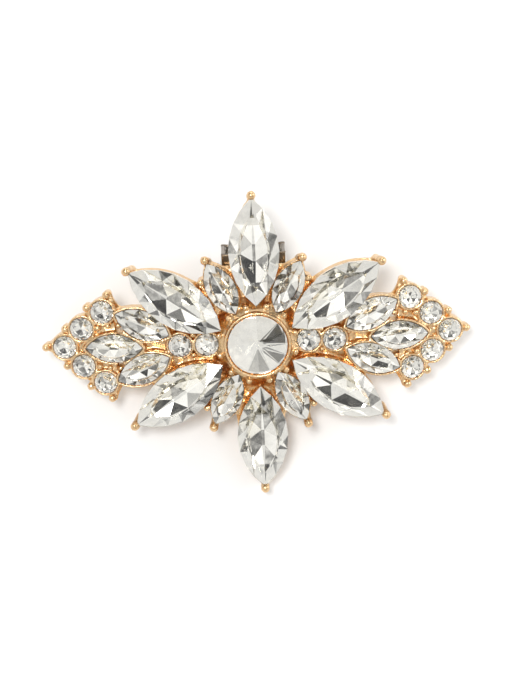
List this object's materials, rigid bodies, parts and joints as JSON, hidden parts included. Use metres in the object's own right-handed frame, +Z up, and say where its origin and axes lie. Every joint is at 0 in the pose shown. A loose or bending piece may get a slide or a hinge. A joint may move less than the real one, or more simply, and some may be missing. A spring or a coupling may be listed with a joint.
{
  "type": "shoe clip",
  "caption": "Gold-tone shoe clip: a star-shaped casting set with clear navette and round crystals, with a sprung steel clip on its back that grips a shoe's edge.",
  "frame": {"origin": "the middle of the clip's footprint, on the surface that it lies on", "axes": "+X along the clip's long way, +Y from the lower tip to the hinged end, +Z up out of the stones"},
  "size_m": [0.0585, 0.0415, 0.0148],
  "materials": {
    "gold_plating": "bright gold-tone plating on a cast back with fine striations",
    "crystal": "clear faceted glass with a silver foil on its back",
    "nickel_plating": "bright nickel-plated sheet steel",
    "spring_steel": "blue-grey spring steel"
  },
  "bodies": {
    "clip_body": {"casting": "gold_plating", "centre_stone": "crystal", "large_navette_1": "crystal", "large_navette_2": "crystal", "large_navette_3": "crystal", "large_navette_4": "crystal", "large_navette_5": "crystal", "large_navette_6": "crystal", "small_navette_1": "crystal", "small_navette_2": "crystal", "small_navette_3": "crystal", "small_navette_4": "crystal", "small_navette_5": "crystal", "small_navette_6": "crystal", "small_navette_7": "crystal", "small_navette_8": "crystal", "small_navette_9": "crystal", "small_navette_10": "crystal", "round_stone_1": "crystal", "round_stone_2": "crystal", "round_stone_3": "crystal", "round_stone_4": "crystal", "round_stone_5": "crystal", "round_stone_6": "crystal", "round_stone_7": "crystal", "round_stone_8": "crystal", "round_stone_9": "crystal", "round_stone_10": "crystal", "round_stone_11": "crystal", "round_stone_12": "crystal", "round_stone_13": "crystal", "round_stone_14": "crystal", "clip_bracket": "nickel_plating", "hinge_pin": "nickel_plating", "leaf_spring": "spring_steel"},
    "lever": {"clip_lever": "nickel_plating"}
  },
  "joints": [
    {"name": "lever_hinge", "type": "hinge", "parent": "clip_body", "child": "lever", "pos_m": [0, 0.0112, 0.00278], "axis": [1, 0, 0], "range_deg": [0, 90]}
  ]
}
